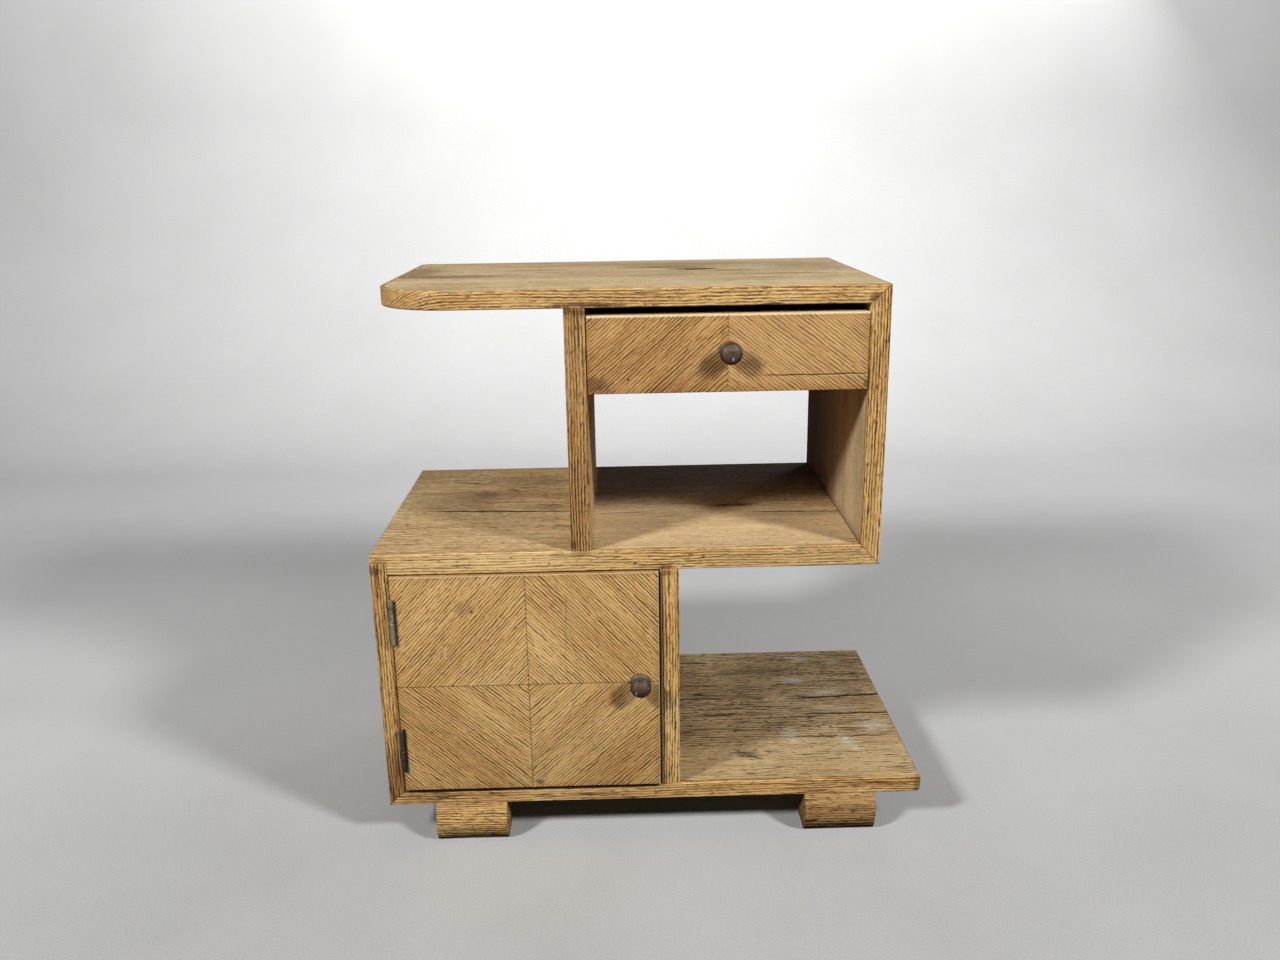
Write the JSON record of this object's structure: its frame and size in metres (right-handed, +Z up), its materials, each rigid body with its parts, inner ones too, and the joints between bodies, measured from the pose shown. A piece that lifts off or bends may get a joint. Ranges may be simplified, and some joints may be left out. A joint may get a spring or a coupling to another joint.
{
  "type": "bedside cabinet",
  "caption": "Asymmetrical oak bedside cabinet with a hinged cupboard door, a drawer over an open compartment, and a shelf open to the side.",
  "frame": {"origin": "on the floor under the middle of the whole piece, knobs included", "axes": "+X to the right seen from the front, +Y from the front to the back, +Z up"},
  "size_m": [0.588, 0.354, 0.6055],
  "materials": {
    "oak_board": "aged oak veneer on board, matt, open pores",
    "oak_lipping": "solid oak, stripped and worn, matt",
    "oak_foot": "solid oak, worn, darker near the floor",
    "oak_matched_veneer": "straight-grained oak veneer laid at an angle, matt",
    "softwood": "planed softwood, bare",
    "plywood": "thin plywood, bare",
    "beech": "bare beech",
    "dark_turned_wood": "turned hardwood, stained dark, satin, worn",
    "hinge_steel": "pressed steel, dull, with some tarnish",
    "screw_steel": "plain steel, dull",
    "catch_brass": "brass, dull"
  },
  "bodies": {
    "carcass": {"top_board": "oak_board", "top_lipping": "oak_lipping", "right_side": "oak_board", "right_side_lipping": "oak_lipping", "upper_partition": "oak_board", "upper_partition_lipping": "oak_lipping", "middle_board": "oak_board", "middle_lipping": "oak_lipping", "left_side": "oak_board", "left_side_lipping": "oak_lipping", "lower_partition": "oak_board", "lower_partition_lipping": "oak_lipping", "bottom_board": "oak_board", "bottom_lipping": "oak_lipping", "corner_tongues": "beech", "partition_dowels": "beech", "left_front_foot": "oak_foot", "right_front_foot": "oak_foot", "left_rear_foot": "oak_foot", "right_rear_foot": "oak_foot", "foot_screws": "screw_steel", "cupboard_back": "plywood", "back_pins": "screw_steel", "drawer_rear_rail": "softwood", "left_drawer_runner": "softwood", "right_drawer_runner": "softwood", "runner_screws": "screw_steel", "lower_hinge_frame_leaf": "hinge_steel", "lower_hinge_pin": "hinge_steel", "upper_hinge_frame_leaf": "hinge_steel", "upper_hinge_pin": "hinge_steel", "hinge_frame_screws": "screw_steel", "catch_strike": "catch_brass", "strike_screws": "screw_steel", "door_stop": "softwood"},
    "door": {"door_panel": "softwood", "door_veneer_lower_left": "oak_matched_veneer", "door_veneer_lower_right": "oak_matched_veneer", "door_veneer_upper_left": "oak_matched_veneer", "door_veneer_upper_right": "oak_matched_veneer", "door_knob": "dark_turned_wood", "door_knob_screw": "screw_steel", "lower_hinge_door_leaf": "hinge_steel", "upper_hinge_door_leaf": "hinge_steel", "hinge_door_screws": "screw_steel", "catch_barrel": "catch_brass", "catch_spring": "screw_steel"},
    "catch_ball": {"catch_ball": "screw_steel"},
    "drawer": {"drawer_front": "softwood", "drawer_veneer_left": "oak_matched_veneer", "drawer_veneer_right": "oak_matched_veneer", "drawer_left_side": "softwood", "drawer_right_side": "softwood", "drawer_back": "softwood", "drawer_bottom": "plywood", "drawer_pins": "screw_steel", "drawer_knob": "dark_turned_wood", "drawer_knob_screw": "screw_steel"}
  },
  "joints": [
    {"name": "door_hinge", "type": "hinge", "parent": "carcass", "child": "door", "pos_m": [-0.27325, -0.157, 0.18925], "axis": [0, 0, -1], "range_deg": [0, 170]},
    {"name": "catch_ball_slide", "type": "slide", "parent": "door", "child": "catch_ball", "axis": [0, 0, -1], "range_m": [0, 0.0018], "stiffness_N_per_m": 1500, "deforming": ["catch_spring"]},
    {"name": "drawer_slide", "type": "slide", "parent": "carcass", "child": "drawer", "axis": [0, -1, 0], "range_m": [0, 0.22]}
  ]
}
